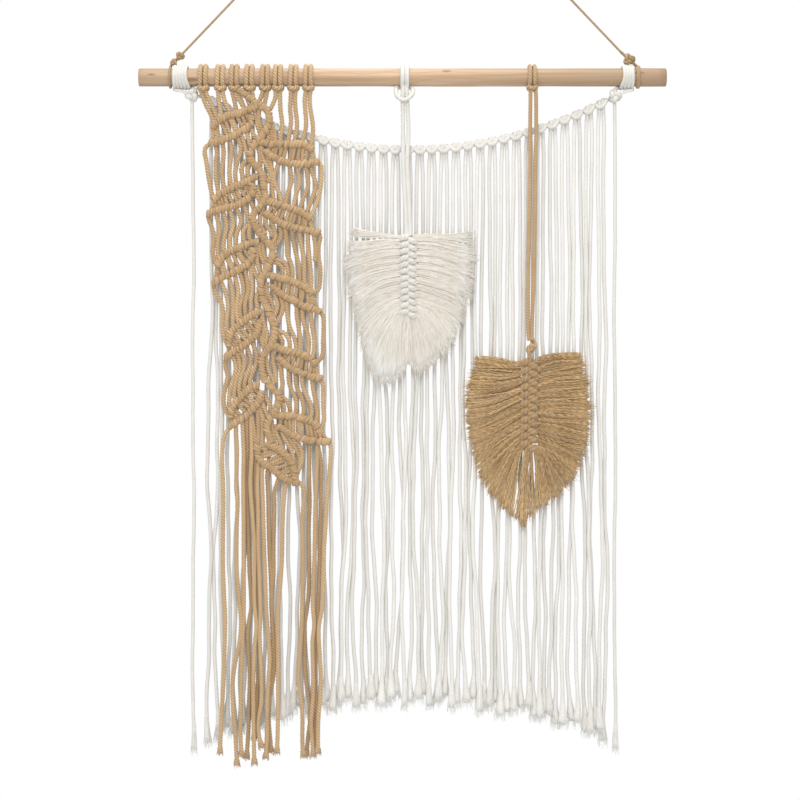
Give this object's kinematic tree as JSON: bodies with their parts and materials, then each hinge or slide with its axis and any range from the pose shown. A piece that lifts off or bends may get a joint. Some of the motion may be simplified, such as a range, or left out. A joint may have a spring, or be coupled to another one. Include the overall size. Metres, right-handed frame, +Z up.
{
  "type": "macrame wall hanging on a wooden rod",
  "caption": "Wall hanging of knotted cotton cord on a wooden rod: a leafy knotted panel, brushed feathers and a long hanging fringe, carried by a cord hanger.",
  "frame": {"origin": "underside of the hanger cord's bight, where a hook or nail carries the hanging", "axes": "+X to the right along the rod as seen from the front, +Y away from the viewer into the wall, +Z up"},
  "size_m": [0.6, 0.0304, 1.076],
  "materials": {
    "rod_pine": "bare, lightly sanded",
    "hanger_twine": "twisted twine, matt",
    "white_cotton_cord": "soft twisted cotton, matt",
    "tan_cotton_cord": "soft twisted cotton, matt",
    "cream_brushed_yarn": "brushed out and combed, matt",
    "golden_brushed_yarn": "brushed out and combed, matt"
  },
  "bodies": {
    "root": {"rod": "rod_pine", "hanger_cord": "hanger_twine", "curtain": "white_cotton_cord", "leaf_panel": "tan_cotton_cord", "white_feather_cord": "white_cotton_cord", "white_feather": "cream_brushed_yarn", "tan_feather_cord": "tan_cotton_cord", "tan_feather": "golden_brushed_yarn"}
  },
  "joints": []
}
